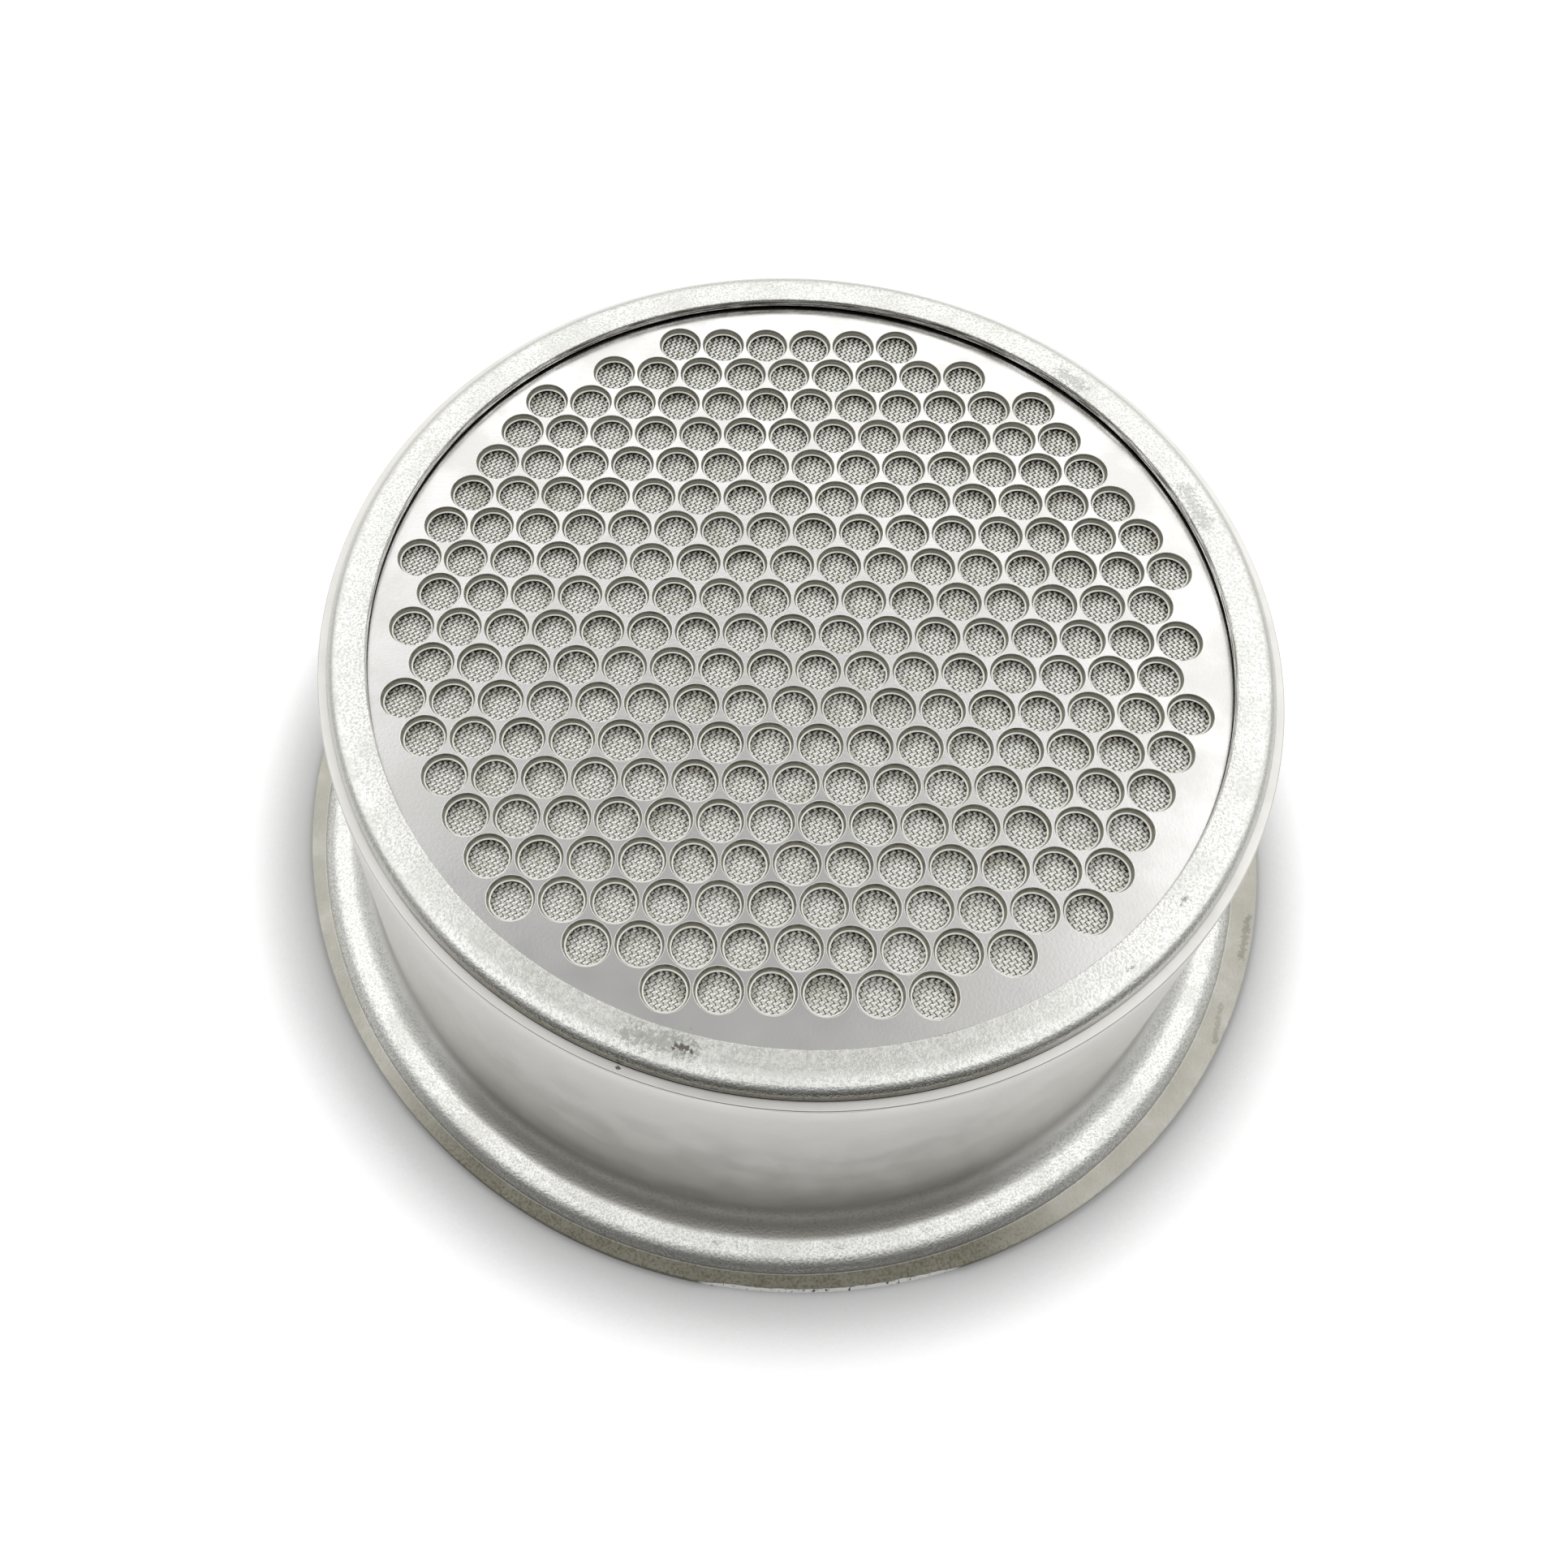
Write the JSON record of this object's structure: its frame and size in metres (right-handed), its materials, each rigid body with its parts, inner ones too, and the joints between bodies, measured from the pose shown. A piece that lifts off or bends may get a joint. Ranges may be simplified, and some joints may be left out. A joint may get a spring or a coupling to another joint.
{
  "type": "espresso filter basket",
  "caption": "Drawn steel filter cup with a stepped flange at its open end and an etched, perforated end plate backed by woven wire, held under a crimped ring.",
  "frame": {"origin": "on the cup's axis, in the plane that the flange's lip rests on when the cup stands open end down; the lip's sheared edge is 0.6 mm off that axis, as the picture shows", "axes": "+Z along the cup's axis from the flange up to the perforated plate; +X along the rows of holes; +Y across the rows"},
  "size_m": [0.07, 0.0699, 0.0264],
  "materials": {
    "cup": "drawn stainless steel, fine grain, slightly warm",
    "plate": "etched stainless steel sheet, matt and pale",
    "mesh": "woven stainless wire, about 0.2 mm spacing"
  },
  "bodies": {
    "root": {"cup": "cup", "perforated_plate": "plate", "wire_mesh": "mesh"}
  },
  "joints": []
}
